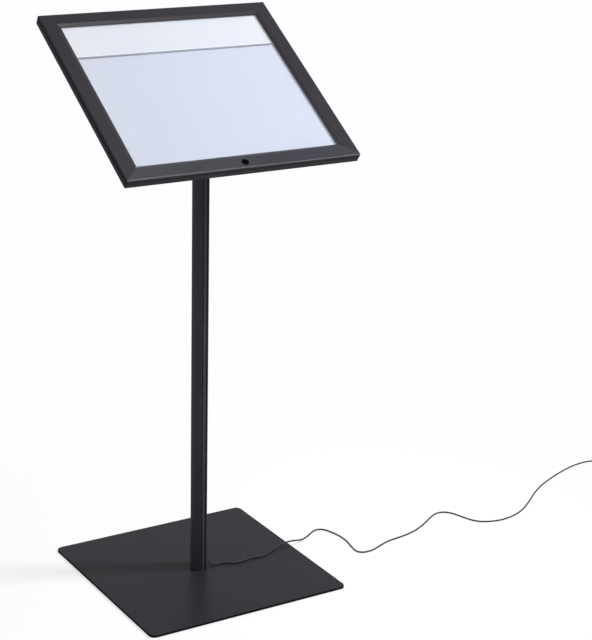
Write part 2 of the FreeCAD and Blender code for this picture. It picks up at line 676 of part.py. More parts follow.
def make_lock():
    """Cam lock: barrel and nut in the door, plug, cam and screw that turn, keeper and rivets on the case."""
    barrel = rod(LOCK_FLANGE_R, (0, 0, 0), (0, 0, LOCK_FLANGE))
    barrel = barrel.makeFillet(LOCK_FLANGE / 2, edges_at_height(barrel, LOCK_FLANGE))
    barrel = joined(barrel, rod(LOCK_BODY_R, (0, 0, LOCK_BODY_END), (0, 0, 0)))
    barrel = barrel.cut(rod(LOCK_PLUG_R + LOCK_RUN, (0, 0, LOCK_BODY_END), (0, 0, 2 * LOCK_FLANGE)))
    nut = hexagon(LOCK_NUT[0], (-DOOR_SKIN - LOCK_NUT[1], -DOOR_SKIN))
    nut = nut.cut(rod(LOCK_BODY_R, (0, 0, LOCK_BODY_END), (0, 0, 0)))
    plug_face = LOCK_FLANGE - PLUG_SUNK
    cam_z = (CAM_TOP - CAM_THICK, CAM_TOP)
    square = block((-CAM_HOLE_HALF, CAM_HOLE_HALF), (-CAM_HOLE_HALF, CAM_HOLE_HALF), cam_z)
    slot_wide, slot_tall, slot_deep = KEY_SLOT
    slot_x = (-slot_wide / 2, slot_wide / 2)
    plug = rod(LOCK_PLUG_R, (0, 0, CAM_TOP), (0, 0, plug_face))
    plug = plug.cut(block(slot_x, (-slot_tall / 2, slot_tall / 2), (plug_face - slot_deep, plug_face)))
    cam_screw = placed(pan_screw(*CAM_SCREW), (0, 0, cam_z[0]), (0, 0, -1))
    plug = joined(plug, square).cut(cam_screw)
    cam = block((-CAM_TAIL, CAM_REACH), (-CAM_HALF, CAM_HALF), cam_z)
    cam = cam.makeFillet(CAM_HALF / 2, edges_along(cam, Vector(0, 0, 1))).cut(square)
    wall = -HALF_TALL + CASE_INSET + CASE_WALL
    wide = (-KEEPER_HALF, KEEPER_HALF)
    keeper = joined(
        block(wide, (wall, wall + KEEPER_THICK), KEEPER_Z),
        block(wide, (wall, wall + KEEPER_REACH), (KEEPER_Z[1] - KEEPER_THICK, KEEPER_Z[1])))
    rivets = []
    for u in (-RIVET_U, RIVET_U):
        rivets.append(rod(RIVET_R, (u, wall - CASE_WALL, RIVET_W), (u, wall + KEEPER_THICK + 1, RIVET_W)))
    here = (0, LOCK_V, 0)
    return {
        "lock_barrel": [placed(barrel, here)],
        "lock_nut": [placed(nut, here)],
        "lock_plug": [placed(plug, here)],
        "lock_cam": [placed(cam, here)],
        "lock_cam_screw": [placed(cam_screw, here)],
        "lock_keeper": [keeper.cut(rivets)],
        "keeper_rivets": rivets,
    }


def make_light():
    """Edge-lit panel: two LED channels with their strips, reflector, light guide and diffuser."""
    inner = CHANNEL_FROM + CHANNEL_WALL
    lip = CHANNEL_TO - CHANNEL_WALL
    section = [
        (CHANNEL_FROM, PANEL_Z[1]), (CHANNEL_TO, PANEL_Z[1]), (CHANNEL_TO, CHANNEL_FOOT),
        (inner, CHANNEL_FOOT), (inner, CHANNEL_SHELF), (CHANNEL_TO, CHANNEL_SHELF),
        (CHANNEL_TO, REFLECTOR_Z[0]), (inner, REFLECTOR_Z[0]), (inner, DIFFUSER_Z[1]),
        (lip, DIFFUSER_Z[1]), (lip, CHANNEL_TOP), (CHANNEL_FROM, CHANNEL_TOP)]
    channel = prism([(HALF_WIDE - d, -CHANNEL_HALF, z) for d, z in section], (0, 2 * CHANNEL_HALF, 0))
    notch_u = (HALF_WIDE - WIRE_END_D - 3 * WIRE_R, HALF_WIDE - inner)
    notch_v = (WIRE_V - 3 * WIRE_R, WIRE_V + 3 * WIRE_R)
    channel = channel.cut(block(notch_u, notch_v, (CHANNEL_SHELF, REFLECTOR_Z[0])))
    board_u = (HALF_WIDE - inner - BOARD_THICK, HALF_WIDE - inner)
    strip = block(board_u, (-BOARD_HALF, BOARD_HALF), BOARD_Z)
    chips = []
    for k in range(CHIP_COUNT):
        v = (k - (CHIP_COUNT - 1) / 2) * CHIP_PITCH
        chip_v = (v - CHIP_LONG / 2, v + CHIP_LONG / 2)
        chips.append(block((board_u[0] - CHIP_THICK, board_u[0]), chip_v, CHIP_Z))
    strip = joined(strip, *chips)
    across = (GUIDE_SIDE - HALF_WIDE, HALF_WIDE - GUIDE_SIDE)
    along = (GUIDE_END - HALF_TALL, HALF_TALL - GUIDE_END)
    mirror = (Vector(0, 0, 0), Vector(1, 0, 0))
    return {
        "right_led_channel": [channel],
        "left_led_channel": [channel.mirror(*mirror)],
        "right_led_strip": [strip],
        "left_led_strip": [strip.mirror(*mirror)],
        "reflector_sheet": [block(across, along, REFLECTOR_Z)],
        "light_guide": [block(across, along, GUIDE_Z)],
        "diffuser_sheet": [block(across, along, DIFFUSER_Z)],
    }


def make_sheets():
    """Printed sheet, header card and the strip between them."""
    half = SHEET_WIDE / 2
    return {
        "menu_sheet": [block((-half, half), (SHEET_LOW, SHEET_LOW + SHEET_TALL), SHEET_Z)],
        "header_card": [block((-half, half), CARD_V, CARD_Z)],
        "divider_strip": [block((-DIVIDER_HALF, DIVIDER_HALF), DIVIDER_V, DIVIDER_Z)],
    }


def make_wiring():
    """Lead up the pole, through the back panel to a splice, and a wire from there to each LED strip."""
    # The upright lead meets the level at which it lies in the case at this height from the head's origin.
    rise = (LEAD_W + math.sin(TILT) * (LEAD_Y - HEAD_Y)) / math.cos(TILT)
    turn_v = math.cos(TILT) * (LEAD_Y - HEAD_Y) + math.sin(TILT) * rise
    splice = HEAD_PLACE.multVec(Vector(0, SPLICE_V[0], LEAD_W))
    corners = [(EXIT_X, LEAD_Y, EXIT_Z), (0, LEAD_Y, EXIT_Z), (0, LEAD_Y, HEAD_Z + rise), tuple(splice)]
    lead = tube(soft_path(corners, LEAD_BEND)[0], LEAD_R)
    sleeve = rod(SPLICE_R, (0, SPLICE_V[0], LEAD_W), (0, SPLICE_V[1], LEAD_W))
    wires = []
    for side in (-1, 1):
        far = side * (HALF_WIDE - WIRE_END_D)
        near = side * WIRE_APART
        last = (far - side * 2 * WIRE_BEND, WIRE_V, LEAD_W)
        across = soft_path([(near, SPLICE_V[1], LEAD_W), (near, WIRE_V, LEAD_W), last], LEAD_BEND)[0].Edges
        up = soft_path([last, (far, WIRE_V, LEAD_W), (far, WIRE_V, WIRE_END_W)], WIRE_BEND)[0].Edges
        wires.append(tube(Part.Wire(across + up), WIRE_R))
    hole = turn_v - RING_BACK
    ring = rod(PANEL_HOLE_R + 2 * RING_LIP, (0, hole, PANEL_Z[1]), (0, hole, PANEL_Z[1] + RING_LIP))
    ring = joined(ring, rod(PANEL_HOLE_R, (0, hole, PANEL_Z[0]), (0, hole, PANEL_Z[1])))
    ring = ring.cut(rod(PANEL_HOLE_R - RING_WALL, (0, hole, CASE_BACK), (0, hole, 0)))
    return lead, hole, {"splice_sleeve": [sleeve], "led_wires": wires, "wire_grommet": [ring]}


def make_head():
    """Everything in the tilted head; returns placed pieces by name."""
    flat = make_light()
    flat.update(make_sheets())
    hinges, door_seats = make_hinges()
    flat.update(hinges)
    lock = make_lock()
    flat.update(lock)
    lead, lead_hole, wiring = make_wiring()
    flat.update(wiring)

    door_rails = {}
    case_rails = {}
    ledges = {}
    for side, turn in SIDES.items():
        door_rails[side] = rail(door_profile(), RAIL_WIDE, 0, turn)
        case_rails[side] = rail(case_profile(), CASE_WALL, CASE_INSET, turn)
        ledges[side] = rail(ledge_profile(), LEDGE_TO, CASE_INSET, turn)
    for seat in door_seats:
        door_rails["top"] = door_rails["top"].cut(seat)
    lock_hole = rod(LOCK_BODY_R, (0, LOCK_V, LOCK_BODY_END), (0, LOCK_V, LOCK_FLANGE))
    door_rails["bottom"] = door_rails["bottom"].cut(lock_hole)
    case_rails["bottom"] = case_rails["bottom"].cut(lock["keeper_rivets"])

    panel_edge = CASE_INSET + CASE_WALL + PANEL_GAP
    panel = plate(HEAD_WIDE - 2 * panel_edge, HEAD_TALL - 2 * panel_edge, PANEL_Z, CASE_EDGE_R)
    panel = panel.cut(rod(PANEL_HOLE_R, (0, lead_hole, PANEL_Z[0]), (0, lead_hole, PANEL_Z[1])))
    for u, v in case_screw_places():
        panel = panel.cut(rod(CASE_SCREW[0], (u, v, PANEL_Z[0]), (u, v, PANEL_Z[1])))
    edge_u = HALF_WIDE - PANEL_SCREW_IN
    edge_v = HALF_TALL - PANEL_SCREW_IN
    screw_places = []
    for way in (-1, 1):
        screw_places.append((way * PANEL_SCREW_U, -edge_v, "bottom"))
        screw_places.append((way * PANEL_SCREW_U, edge_v, "top"))
        screw_places.append((-edge_u, way * PANEL_SCREW_V, "left"))
        screw_places.append((edge_u, way * PANEL_SCREW_V, "right"))
    panel_screws = []
    for u, v, side in screw_places:
        hole = rod(PANEL_SCREW[0], (u, v, CASE_BACK), (u, v, PANEL_Z[1]))
        panel = panel.cut(hole)
        ledges[side] = ledges[side].cut(hole)
        panel_screws.append(placed(pan_screw(*PANEL_SCREW), (u, v, CASE_BACK), (0, 0, -1)))
    for screw in hinges["hinge_case_screws"]:
        panel = panel.cut(screw)
        ledges["top"] = ledges["top"].cut(screw)

    bumpers = []
    bumper_v = BUMPER_IN - HALF_TALL
    bumper_top = -DOOR_SKIN - BUMPER_GAP
    for u in (-HINGE_U, HINGE_U):
        peg = rod(BUMPER_R, (u, bumper_v, PANEL_Z[1]), (u, bumper_v, bumper_top))
        bumpers.append(peg.makeFillet(BUMPER_R / 4, edges_at_height(peg, bumper_top)))
    pane_edge = LEG_TO + PANE_GAP
    pane_z = (LIP_UNDER - PANE_THICK, LIP_UNDER)
    pane = plate(HEAD_WIDE - 2 * pane_edge, HEAD_TALL - 2 * pane_edge, pane_z, PANE_THICK / 2)
    flat["panel_ledges"] = list(ledges.values())
    flat["back_panel"] = [panel]
    flat["back_panel_screws"] = panel_screws
    flat["door_bumpers"] = bumpers
    flat["window_pane"] = [pane]
    for side in SIDES:
        flat["door_" + side + "_rail"] = [door_rails[side]]
        flat["case_" + side + "_rail"] = [case_rails[side]]

    pieces = {"pole_lead": lead}
    for name, solids in flat.items():
        turned = [on_head(s) for s in solids]
        pieces[name] = turned[0] if len(turned) == 1 else Part.makeCompound(turned)
    door_key_z = (-DOOR_SKIN - DOOR_KEY_THICK, -DOOR_SKIN)
    pieces["case_corner_keys"] = corner_keys(*CASE_KEY, CASE_INSET + CASE_WALL, CASE_KEY_Z)
    pieces["door_corner_keys"] = corner_keys(*DOOR_KEY, DOOR_KEY_IN, door_key_z)
    return pieces


def coil_path(start, heading):
    """Coil path with its centre and end: in, up a layer in the half turn where it reverses, and out again."""
    right = Vector(heading.y, -heading.x, 0)
    begin = start + heading * (2 * LEAD_R)
    centre = begin + right * COIL_R
    quarters = 8 * COIL_TURNS
    turn_back = quarters // 2
    points = []
    ways = []
    for k in range(quarters + 1):
        angle = k * math.pi / 2
        radius = COIL_R - COIL_PITCH * (turn_back - abs(turn_back - k)) / 4
        slope = 0.0
        if k not in (0, turn_back, quarters):
            slope = COIL_PITCH / (2 * math.pi) * (-1 if k < turn_back else 1)
        climb = min(max((k - turn_back + 1) / 2, 0), 1)
        rate = COIL_STEP / 2 if k == turn_back else 0.0
        outward = heading * math.sin(angle) - right * math.cos(angle)
        onward = heading * math.cos(angle) + right * math.sin(angle)
        points.append(centre + outward * radius + Vector(0, 0, climb * COIL_STEP))
        way = onward * radius + outward * slope + Vector(0, 0, rate)
        ways.append(way / way.Length)
    edges = [Part.LineSegment(start, points[0]).toShape()]
    for k in range(quarters):
        edges += biarc(points[k], ways[k], points[k + 1], ways[k + 1])
    level = Vector(0, 0, ADAPTER_THICK / 2 - points[-1].z)
    tail = points[-1] + heading * TAIL_LONG + level
    edges += biarc(points[-1], heading, tail, heading)
    end = tail + heading * (2 * LEAD_R)
    edges.append(Part.LineSegment(tail, end).toShape())
    return Part.Wire(edges), centre, end


def least_gap(path, radius):
    """Smallest clear distance between stretches of a tube that are more than a half turn apart."""
    step = 1.0
    spots = path.discretize(Distance=step)
    apart = int(4 * radius / step) + 8
    least = min(spots[i].distanceToPoint(q) for i in range(len(spots)) for q in spots[i + apart:])
    return least - 2 * radius


def make_cord():
    """Free lead, the coil of its spare length with a tie, and the plug-in adapter on its end."""
    path, radii = soft_path(LEAD_ROUTE)
    lead = tube(path, LEAD_R)
    section = math.pi * LEAD_R ** 2
    print("lead bend radii", " ".join("%.1f" % r for r in radii))
    print("lead length %.1f, volume ratio %.4f" % (path.Length, lead.Volume / (section * path.Length)))

    last = Vector(*LEAD_ROUTE[-1])
    heading = last - Vector(*LEAD_ROUTE[-2])
    heading = heading / heading.Length
    right = Vector(heading.y, -heading.x, 0)
    turns, centre, end = coil_path(last, heading)
    coil = tube(turns, LEAD_R)
    print("coil length %.1f, volume ratio %.4f" % (turns.Length, coil.Volume / (section * turns.Length)))
    print("coil least gap %.2f, whole lead %.0f" % (least_gap(turns, LEAD_R), path.Length + turns.Length))

    # The tie goes round the turns on the far side of the coil, where both layers lie over each other.
    room = LEAD_R + TIE_SLACK
    across = (COIL_R - COIL_PITCH * (COIL_TURNS - 0.5) - room, COIL_R - COIL_PITCH / 2 + room)
    upright = (last.z - LEAD_R - TIE_SLACK / 2, last.z + COIL_STEP + room)
    half = (-TIE_WIDE / 2, TIE_WIDE / 2)
    around = (across[0] - TIE_THICK, across[1] + TIE_THICK)
    band = block(around, half, (upright[0] - TIE_THICK, upright[1] + TIE_THICK))
    band = band.makeFillet(1.5 * TIE_THICK, edges_along(band, Vector(0, 1, 0)))
    band = band.cut(block(across, half, upright))
    facing = math.degrees(math.atan2(right.y, right.x))
    band.rotate(Vector(0, 0, 0), Vector(0, 0, 1), facing)
    band.translate(Vector(centre.x, centre.y, 0))

    boot = Part.makeCone(*BOOT_R, BOOT_LONG).cut(Part.makeCylinder(LEAD_R, BOOT_SOCKET))
    boot = placed(boot, tuple(end - heading * BOOT_SOCKET), tuple(heading))
    body = block((0, ADAPTER_LONG), (-ADAPTER_WIDE / 2, ADAPTER_WIDE / 2), (0, ADAPTER_THICK))
    body = body.makeFillet(ADAPTER_R, edges_along(body, Vector(0, 0, 1)))
    body = body.makeFillet(ADAPTER_EDGE_R, edges_at_height(body, ADAPTER_THICK) + edges_at_height(body, 0))
    pins = []
    pin_top = ADAPTER_THICK + PIN_LONG
    for y in (-PIN_APART / 2, PIN_APART / 2):
        pin = rod(PIN_R, (ADAPTER_LONG / 3, y, ADAPTER_THICK - PIN_ROOT), (ADAPTER_LONG / 3, y, pin_top))
        pin = pin.makeFillet(PIN_R / 2, edges_at_height(pin, pin_top))
        pins.append(pin)
        body = body.cut(pin)
    pins = Part.makeCompound(pins)
    front = end + heading * (BOOT_LONG - BOOT_SOCKET)
    angle = math.degrees(math.atan2(heading.y, heading.x))
    for shape in (body, pins):
        shape.rotate(Vector(0, 0, 0), Vector(0, 0, 1), angle)
        shape.translate(Vector(front.x, front.y, 0))
    return {
        "cord_lead": lead,
        "cord_coil": coil,
        "coil_tie": band,
        "adapter_boot": boot,
        "adapter_body": body,
        "adapter_pins": pins,
    }


def main():
    os.makedirs("parts", exist_ok=True)
    pieces = {}
    for make in (make_base, make_pole, make_head_fixing, make_head, make_cord):
        pieces.update(make())
    for name, shape in sorted(pieces.items()):
        if not shape.isValid() or not shape.Solids:
            print("bad solid", name)
        shape.exportStep("parts/" + name + ".step")
    print(len(pieces), "nodes")


main()
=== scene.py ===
import json
import math

import bpy
from mathutils import Matrix, Vector


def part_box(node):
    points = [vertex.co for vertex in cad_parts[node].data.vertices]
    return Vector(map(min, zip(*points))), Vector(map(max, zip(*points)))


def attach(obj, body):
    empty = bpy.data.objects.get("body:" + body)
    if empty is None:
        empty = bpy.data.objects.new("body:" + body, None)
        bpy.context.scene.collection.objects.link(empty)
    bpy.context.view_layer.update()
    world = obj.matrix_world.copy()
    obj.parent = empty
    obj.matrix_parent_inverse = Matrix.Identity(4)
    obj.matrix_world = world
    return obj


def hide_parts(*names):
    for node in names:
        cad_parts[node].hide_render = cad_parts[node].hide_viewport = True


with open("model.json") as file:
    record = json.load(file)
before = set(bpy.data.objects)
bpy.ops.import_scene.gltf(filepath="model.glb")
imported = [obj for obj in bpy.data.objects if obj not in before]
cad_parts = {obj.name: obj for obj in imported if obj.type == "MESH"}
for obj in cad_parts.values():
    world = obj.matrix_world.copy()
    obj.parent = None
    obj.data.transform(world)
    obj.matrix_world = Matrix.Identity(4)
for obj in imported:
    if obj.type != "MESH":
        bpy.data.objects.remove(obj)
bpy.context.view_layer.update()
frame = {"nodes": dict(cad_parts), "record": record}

# Lectern menu display stand: finishes, the free lead, floor, light and camera.
# Metres, in the frame's axes: X to the reader's right, Y away from the reader and Z up.

# Camera, as worked out from the edges of the base plate and the case
CAMERA_AT = (-1.545, -2.8267, 1.5864)
CAMERA_TURN = math.radians(-31.94)
CAMERA_DOWN = math.radians(18.14)
CAMERA_ROLL = math.radians(1.39)
CAMERA_LENS = 99.18
CAMERA_SENSOR = 36.0

# Floor and world: the floor glows in part near the object, where it takes a shadow, and fully past the fade
WHITE = (1.0, 0.98, 1.0, 1.0)
FLOOR_SIDE = 60.0
FLOOR_FADE = (0.2, 1.2)
FLOOR_GLOW = 0.64
WORLD_COLOUR = (1.0, 1.0, 1.0, 1.0)
WORLD_LIGHT = 0.55

# Lamps: bearing from +X and height angle in degrees, distance from their aim, side of the square and power
LAMP_AIM = Vector((0.0, 0.0, 0.6))
KEY_LAMP = dict(turn=-26.0, rise=48.0, away=3.2, side=0.45, power=87.0)
SHINE_LAMP = dict(turn=-52.8, rise=68.6, away=3.26, side=0.6, power=84.0)
EDGE_LAMP = dict(turn=-54.5, rise=30.0, away=3.2, side=2.0, power=125.0)

# Tilted head: the middle of its face, and directions across it, up its slope and out of it
HEAD_AT = Vector((0.0, 0.0064, 0.982))
HEAD_TILT = math.radians(32.57)
ACROSS = Vector((1.0, 0.0, 0.0))
UPWARD = Vector((0.0, math.cos(HEAD_TILT), math.sin(HEAD_TILT)))
OUTWARD = Vector((0.0, -math.sin(HEAD_TILT), math.cos(HEAD_TILT)))
TOPWARD = Vector((0.0, 0.0, 1.0))

# Lit opening of the head: half its width and height
OPENING_WIDE = 0.2073
OPENING_TALL = 0.1833

# Noise lies about a half: ranges that hold most of its values and nearly all of them
NOISE_MOST = (0.35, 0.65)
NOISE_ALL = (0.3, 0.7)

# Eased edges: samples of the normal, and the cosines between which an edge fades into a flat face
EASE_SAMPLES = 4
EASE_TURN = (0.75, 0.98)

# Powder coat: clouds in a metre, radius of eased edges, and tones as shares of its colour
COAT_CLOUDS = 7.0
COAT_EDGE = 0.0007
COAT_TONES = (0.9, 1.1)
COAT_SPECKS = (0.55, 0.75)
COAT_SPECK_SHARE = 0.35
COAT_SPECK_TONE = 1.5
COAT_WEAR_AND_HIGHLIGHT_SHARE = 0.6
COAT_WEAR_AND_HIGHLIGHT_TONE = 1.7
COAT_CLOUD_ROUGH = 0.05
COAT_GRAIN_ROUGH = 0.04

# Show face of a coat: cosines of its turn from the face's direction, from the side's finish, darker as
# painted shade, to the face's
FACE_TURN = (0.1, 0.55)

# Plated metal: dull patches in a metre, radius of eased edges, tones and changes of roughness
METAL_PATCHES = 60.0
METAL_EDGE = 0.0003
METAL_DULL = (0.35, 0.7)
METAL_TONES = (1.06, 0.8)
METAL_PATCH_ROUGH = (-0.06, 0.08)
METAL_LAY_ROUGH = 0.1
METAL_LAY_DEPTH = 0.00002

# Moulded plastic and rubber: clouds in a metre, radius of eased edges, tones and changes of roughness
PLASTIC_CLOUDS = 30.0
PLASTIC_EDGE = 0.0004
PLASTIC_TONES = (0.88, 1.12)
PLASTIC_SPECKS = (0.5, 0.75)
PLASTIC_SPECK_SHARE = 0.3
PLASTIC_SPECK_TONE = 1.6
PLASTIC_ROUGH = (-0.05, 0.06)

# Lit sheets: heights of their lower edges up the slope, upright streaks and paper fibre
MENU_LOW = -0.1835
HEADER_LOW = 0.1019
SHEET_ROUGH = 0.6
SHEET_SHINE = 0.2
STREAK_CELLS = 3.2
STREAK_STRETCH = (7.0, 0.9, 0.9)
STREAK_RANGE = (0.38, 0.62)
FIBRE_CELLS = 700.0
FIBRE_RANGE = (0.4, 0.7)
FIBRE_SHARE = 0.06
FIBRE_TONE = 0.85
FIBRE_DEPTH = 0.00001

# Lit sheets: the warmer band at the left and the painted highlight along the lower edge
LEFT_BAND = 0.05
LEFT_SHARE = 0.8
LEFT_TINT = (1.12, 1.05, 1.0)
HIGHLIGHT_BAND = 0.0045
HIGHLIGHT_TONE = 1.3

# Clear pane: faint patches of haze
HAZE_CELLS = 14.0
HAZE_RANGE = (0.45, 0.75)
HAZE_ROUGH = 0.03

# Light guide: rows of dots, with the edge of a dot as a share of a cell
DOT_CELLS = 260.0
DOT_EDGE = (0.25, 0.35)
DOT_ROUGH = 0.7
DOT_WHITE = (0.95, 0.95, 0.93, 1.0)
GUIDE_CLEAR = (0.62, 0.7, 0.76, 1.0)
GUIDE_ROUGH = 0.08
GUIDE_COAT = 0.4

# LED boards: thickness of the bare board, its solder mask and the chips
BOARD_THICK = 0.001
BOARD_TONES = ((0.85, 0.85, 0.8, 1.0), (0.7, 0.72, 0.66, 1.0))
BOARD_ROUGH = 0.45
MASK_CELLS = 900.0
MASK_RANGE = (0.4, 0.7)
MASK_SHARE = 0.5
CHIP_YELLOW = (0.95, 0.72, 0.2, 1.0)
CHIP_LIGHT = (1.0, 0.95, 0.85, 1.0)
CHIP_GLOW = 0.6

# Free lead: route of its centreline, then the coil of its spare length
LEAD_D = 0.0034
LEAD_STEPS = 8
LEAD_ROUNDNESS = 4
LEAD_ROUTE = [
    (0.0163, 0.002, 0.0125), (0.0195, 0.002, 0.0125), (0.0223, 0.0005, 0.0119), (0.024, -0.0024, 0.0108),
    (0.0256, -0.0058, 0.0095), (0.0284, -0.009, 0.0084), (0.0332, -0.0109, 0.008), (0.042, -0.0098, 0.008),
    (0.052, -0.0115, 0.008), (0.0625, -0.02, 0.008), (0.0755, -0.0245, 0.008), (0.092, -0.023, 0.008),
    (0.107, -0.0195, 0.008), (0.12, -0.021, 0.008), (0.132, -0.025, 0.008), (0.146, -0.0205, 0.008),
    (0.163, -0.0115, 0.008), (0.182, -0.0045, 0.009), (0.205, 0.0025, 0.0115), (0.225, 0.002, 0.0114),
    (0.24, 0.003, 0.0082), (0.2545, 0.012, 0.0034), (0.27, 0.021, 0.0018), (0.2855, 0.0315, 0.0018),
    (0.298, 0.039, 0.0018), (0.309, 0.0415, 0.0018), (0.318, 0.037, 0.0018), (0.3245, 0.027, 0.0018),
    (0.329, 0.012, 0.0018), (0.3325, -0.006, 0.0018), (0.3335, -0.028, 0.0018), (0.3295, -0.051, 0.0018),
    (0.3245, -0.072, 0.0018), (0.323, -0.0875, 0.0018), (0.33, -0.0975, 0.0018), (0.343, -0.1, 0.0018),
    (0.3585, -0.0985, 0.0018), (0.379, -0.0895, 0.0018), (0.411, -0.077, 0.0018), (0.4485, -0.074, 0.0018),
    (0.4905, -0.0635, 0.0018), (0.5305, -0.0415, 0.0018), (0.5625, -0.02, 0.0018),
    (0.5815, -0.0123, 0.0018), (0.595, -0.0137, 0.0018), (0.606, -0.0218, 0.0018),
    (0.6135, -0.0355, 0.0018), (0.6183, -0.0535, 0.0018), (0.6245, -0.0725, 0.0018),
    (0.633, -0.0883, 0.0018), (0.648, -0.0995, 0.0018), (0.669, -0.1065, 0.0018), (0.6945, -0.109, 0.0018),
    (0.73, -0.1015, 0.0018), (0.766, -0.084, 0.0018), (0.8005, -0.059, 0.0018), (0.8355, -0.0315, 0.0018),
    (0.8745, -0.0055, 0.0018), (0.919, 0.016, 0.0018), (0.968, 0.0365, 0.0018), (1.018, 0.052, 0.0018),
    (1.053, 0.056, 0.002), (1.079, 0.0505, 0.0026), (1.101, 0.042, 0.0026),
]
COIL_R = 0.024
COIL_TURNS = 3
COIL_PITCH = 0.004
COIL_STEP = 0.004
COIL_POINTS = 16
TAIL_LONG = 0.03
TAIL_TOP = 0.011


class Nodes:
    """A cleared node tree, and short ways to add nodes to it and join them."""

    def __init__(self, tree, output):
        self.tree = tree
        self.tree.nodes.clear()
        self.output = self.add(output)

    def add(self, kind, **settings):
        node = self.tree.nodes.new(kind)
        for key, value in settings.items():
            setattr(node, key, value)
        return node

    def join(self, source, target):
        self.tree.links.new(source, target)

    def feed(self, target, value):
        """Links a socket, or sets a plain value on the target itself."""
        if isinstance(value, bpy.types.NodeSocket):
            self.join(value, target)
        else:
            target.default_value = value

    def coloured(self, kind, colour):
        """A shader of one plain colour."""
        node = self.add(kind)
        node.inputs["Color"].default_value = colour
        return node

    def blend(self, share, first, second):
        """A shader between two shaders."""
        node = self.add("ShaderNodeMixShader")
        for source, target in zip((share, first.outputs[0], second.outputs[0]), node.inputs):
            self.join(source, target)
        return node

    def show(self, shader):
        """Makes a shader the visible one."""
        self.join(shader.outputs[0], self.output.inputs["Surface"])

    def math(self, operation, first, second=0.0):
        node = self.add("ShaderNodeMath", operation=operation)
        self.feed(node.inputs[0], first)
        self.feed(node.inputs[1], second)
        return node.outputs[0]

    def spread(self, value, span, low=0.0, high=1.0, curve="LINEAR"):
        """A value's range mapped to another, held at its ends."""
        node = self.add("ShaderNodeMapRange", interpolation_type=curve)
        self.join(value, node.inputs["Value"])
        for name, number in zip(("From Min", "From Max", "To Min", "To Max"), (*span, low, high)):
            node.inputs[name].default_value = number
        return node.outputs["Result"]

    def show_rays(self):
        """1 for rays that show the backdrop: from the camera, or mirrored or bent by the object."""
        path = self.add("ShaderNodeLightPath")
        share = path.outputs["Is Camera Ray"]
        for name in ("Is Glossy Ray", "Is Transmission Ray"):
            share = self.math("MAXIMUM", share, path.outputs[name])
        return share


class Paint(Nodes):
    """One material of the object: a Principled shader and the patterns that drive it."""

    def __init__(self, name):
        self.material = bpy.data.materials.new(name)
        self.material.use_nodes = True
        super().__init__(self.material.node_tree, "ShaderNodeOutputMaterial")
        self.shader = self.add("ShaderNodeBsdfPrincipled")
        self.show(self.shader)
        where = self.add("ShaderNodeTexCoord")
        self.place = where.outputs["Object"]
        self.turn = where.outputs["Normal"]

    def set(self, **values):
        """Sets sockets of the shader; an underscore stands for a space."""
        for key, value in values.items():
            self.feed(self.shader.inputs[key.replace("_", " ")], value)

    def noise(self, cells, detail, stretch=None):
        """Noise with so many cells in a metre, times an extra scale on each axis."""
        node = self.add("ShaderNodeTexNoise")
        place = self.place
        if stretch:
            mapping = self.add("ShaderNodeMapping")
            mapping.inputs["Scale"].default_value = stretch
            self.join(place, mapping.inputs["Vector"])
            place = mapping.outputs["Vector"]
        self.join(place, node.inputs["Vector"])
        node.inputs["Scale"].default_value = cells
        node.inputs["Detail"].default_value = detail
        return node.outputs["Fac"]

    def mix(self, share, first, second):
        """A colour between two colours."""
        node = self.add("ShaderNodeMix", data_type="RGBA")
        self.feed(node.inputs["Factor"], share)
        colours = [socket for socket in node.inputs if socket.type == "RGBA"]
        for socket, colour in zip(colours, (first, second)):
            self.feed(socket, colour)
        return next(socket for socket in node.outputs if socket.type == "RGBA")

    def tones(self, pattern, span, colour, ends):
        """A colour that a pattern takes from one tone of it to another."""
        return self.mix(self.spread(pattern, span), *[scaled(colour, tone) for tone in ends])

    def specks(self, pattern, span, share, shade, colour):
        """A shade with specks of a colour where a pattern is high."""
        return self.mix(self.spread(pattern, span, 0.0, share), shade, colour)

    def dot(self, vector, other):
        node = self.add("ShaderNodeVectorMath", operation="DOT_PRODUCT")
        self.join(vector, node.inputs[0])
        self.feed(node.inputs[1], other)
        return node.outputs["Value"]

    def along(self, axis):
        """Distance from the middle of the head along an axis."""
        return self.math("SUBTRACT", self.dot(self.place, axis), HEAD_AT.dot(axis))

    def within(self, axis, half):
        """1 in a band on both sides of the middle of the head, 0 outside it."""
        return self.math("LESS_THAN", self.math("ABSOLUTE", self.along(axis)), half)

    def soft_normal(self, radius):
        """Normal eased over sharp edges."""
        node = self.add("ShaderNodeBevel", samples=EASE_SAMPLES)
        node.inputs["Radius"].default_value = radius
        return node.outputs["Normal"]

    def edge_share(self, normal):
        """0 on a flat face, up to 1 where the eased normal leaves the true one."""
        true_normal = self.add("ShaderNodeNewGeometry").outputs["Normal"]
        return self.spread(self.dot(normal, true_normal), EASE_TURN, 1.0, 0.0)

    def bump(self, height, depth, normal=None):
        node = self.add("ShaderNodeBump")
        node.inputs["Distance"].default_value = depth
        self.join(height, node.inputs["Height"])
        if normal:
            self.join(normal, node.inputs["Normal"])
        return node.outputs["Normal"]


def scaled(colour, factor=1.0):
    """A colour made lighter or darker, with an alpha of 1."""
    return (*[min(1.0, c * factor) for c in colour], 1.0)


